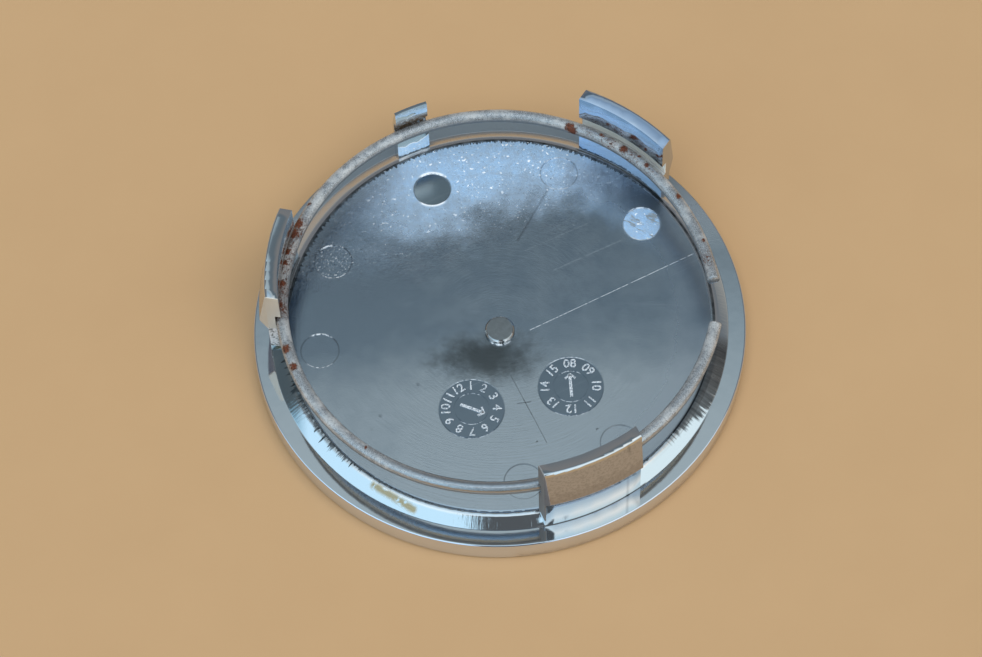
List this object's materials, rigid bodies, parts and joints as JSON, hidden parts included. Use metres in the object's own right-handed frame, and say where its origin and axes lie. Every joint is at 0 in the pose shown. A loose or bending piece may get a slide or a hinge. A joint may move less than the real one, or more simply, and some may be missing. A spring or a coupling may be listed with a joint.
{
  "type": "wheel centre cap",
  "caption": "Round snap-in wheel centre cap with barbed clips, an index tab and a spring-wire retaining ring.",
  "frame": {"origin": "on the cap's axis, on the plane that the front rim rests on", "axes": "+Z along the axis from the front face towards the clips; +X to the right and +Y away from the viewer as the cap lies in the picture"},
  "size_m": [0.07, 0.07, 0.0188],
  "materials": {
    "plated_plastic": "bright plating over moulded plastic, pitted and dull on the back floor",
    "spring_wire": "dull zinc with white bloom and rust spots"
  },
  "bodies": {
    "root": {"cap": "plated_plastic", "retaining_ring": "spring_wire"}
  },
  "joints": []
}
